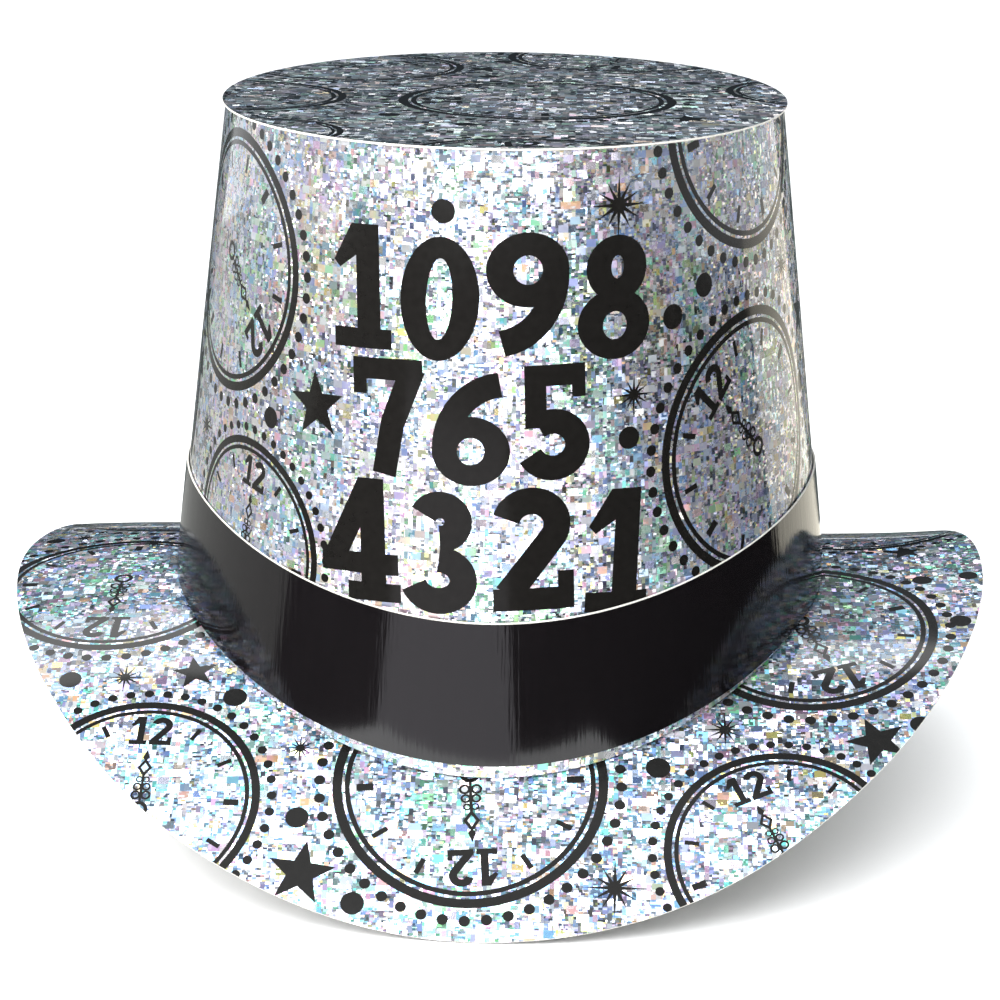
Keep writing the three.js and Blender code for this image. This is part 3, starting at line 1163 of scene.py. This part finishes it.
def light_floor(floor, brightness):
    """An even soft light from straight above, that falls only on the floor and makes it this bright."""
    data = bpy.data.lights.new("floor_light", "SUN")
    data.energy = math.pi * brightness / ((FLOOR_DARK + FLOOR_LIGHT) / 2)
    data.angle = SUN_WIDTH
    light = bpy.data.objects.new("floor_light", data)
    bpy.context.scene.collection.objects.link(light)
    floor_only = bpy.data.collections.new("floor_only")
    floor_only.objects.link(floor)
    light.light_linking.receiver_collection = floor_only


def floor_card(name, corners, glow, height=0.002):
    """A card just above the floor beside the hat, black or glowing, that paints a reflection. Only reflections
    in the gloss show it: a black card is a painted dark reflection, and a glowing one, which is no lamp, a
    painted bright reflection.
    """
    mesh = bpy.data.meshes.new(name)
    points = [(x, y, FLOOR_LEVEL + height) for x, y in corners]
    mesh.from_pydata(points, [], [tuple(range(len(corners)))])
    nodes = Nodes(name)
    mesh.materials.append(nodes.finish(
        Base_Color=grey(0.006),
        Roughness=0.95,
        Specular_IOR_Level=0.1,
        Emission_Color=(*glow, 1),
        Emission_Strength=1.0,
    ))
    sheet = bpy.data.objects.new(name, mesh)
    sheet.visible_camera = False
    sheet.visible_diffuse = False
    sheet.visible_shadow = False
    bpy.context.scene.collection.objects.link(sheet)


def soft_light(name, place, target, size, radiance):
    """A rectangular panel of even brightness, which the camera doesn't see."""
    data = bpy.data.lights.new(name, "AREA")
    data.shape = "RECTANGLE"
    data.size, data.size_y = size
    data.energy = math.pi * radiance * size[0] * size[1]
    light = bpy.data.objects.new(name, data)
    aim = Vector(target) - Vector(place)
    light.matrix_world = Matrix.Translation(place) @ aim.to_track_quat("-Z", "Y").to_matrix().to_4x4()
    light.visible_camera = False
    bpy.context.scene.collection.objects.link(light)


SKY_LOW = (0.25, (0.03, 0.04, 0.05, 1))  # (height of the direction, colour)
SKY_HIGH = (0.85, (0.55, 0.60, 0.64, 1))


def make_world():
    """A dim sky, darker towards the horizon and below it."""
    world = bpy.data.worlds.new("studio")
    world.use_nodes = True
    tree = world.node_tree
    background = tree.nodes["Background"]
    direction = tree.nodes.new("ShaderNodeTexCoord").outputs["Generated"]
    height = tree.nodes.new("ShaderNodeSeparateXYZ")
    tree.links.new(direction, height.inputs[0])
    shade = tree.nodes.new("ShaderNodeValToRGB")
    for element, (position, colour) in zip(shade.color_ramp.elements, (SKY_LOW, SKY_HIGH)):
        element.position = position
        element.color = colour
    tree.links.new(height.outputs[2], shade.inputs[0])
    tree.links.new(shade.outputs[0], background.inputs[0])
    bpy.context.scene.world = world


floor = make_floor()
light_floor(floor, brightness=0.75)
make_backdrop()
make_world()
# A painted dark reflection: a black sheet in front of the hat and to its right, seen only in the gloss, which
# darkens the reflections there.
floor_card(
    "black_card",
    (
        (-1.5, -0.40), (-0.20, -0.085), (-0.10, -0.20), (0.10, -0.20),
        (0.18, 0.03), (1.5, 0.73), (1.5, -1.2), (-1.5, -1.2),
    ),
    glow=(0, 0, 0),
)
# Painted bright reflections: glowing sheets, which are no lamps, in front of the hat, at its left and at its
# right, seen only in the gloss.
floor_card(
    "front_glow",
    ((-0.11, -0.19), (-0.42, -0.62), (0.06, -0.62), (0.02, -0.19)),
    glow=(0.95, 0.93, 1.0),
    height=0.003,
)
floor_card(
    "left_glow",
    ((-0.20, -0.085), (-0.12, 0.30), (-0.6, 1.0), (-1.5, 1.0), (-1.5, -0.40)),
    glow=(0.46, 0.47, 0.45),
)
floor_card(
    "right_glow",
    ((0.18, 0.03), (1.5, 0.73), (1.1, 1.6), (0.1, 0.6)),
    glow=(1.5, 1.42, 1.20),
)
floor_card(
    "back_shade",
    ((-0.15, 0.25), (0.16, 0.25), (1.2, 1.9), (-1.3, 1.9)),
    glow=(0.10, 0.12, 0.12),
    height=0.004,
)
soft_light("key", place=(-0.78, -0.92, 0.70), target=(0, 0, 0.04), size=(2.0, 1.4), radiance=4.8)
soft_light("overhead", place=(0.05, -0.50, 1.15), target=(0.05, -0.2, 0), size=(1.2, 0.8), radiance=0.9)
soft_light("rear", place=(-0.40, 0.80, 1.35), target=(0, 0, 0.1), size=(1.3, 0.6), radiance=3.2)
bpy.context.scene.view_settings.view_transform = "Standard"
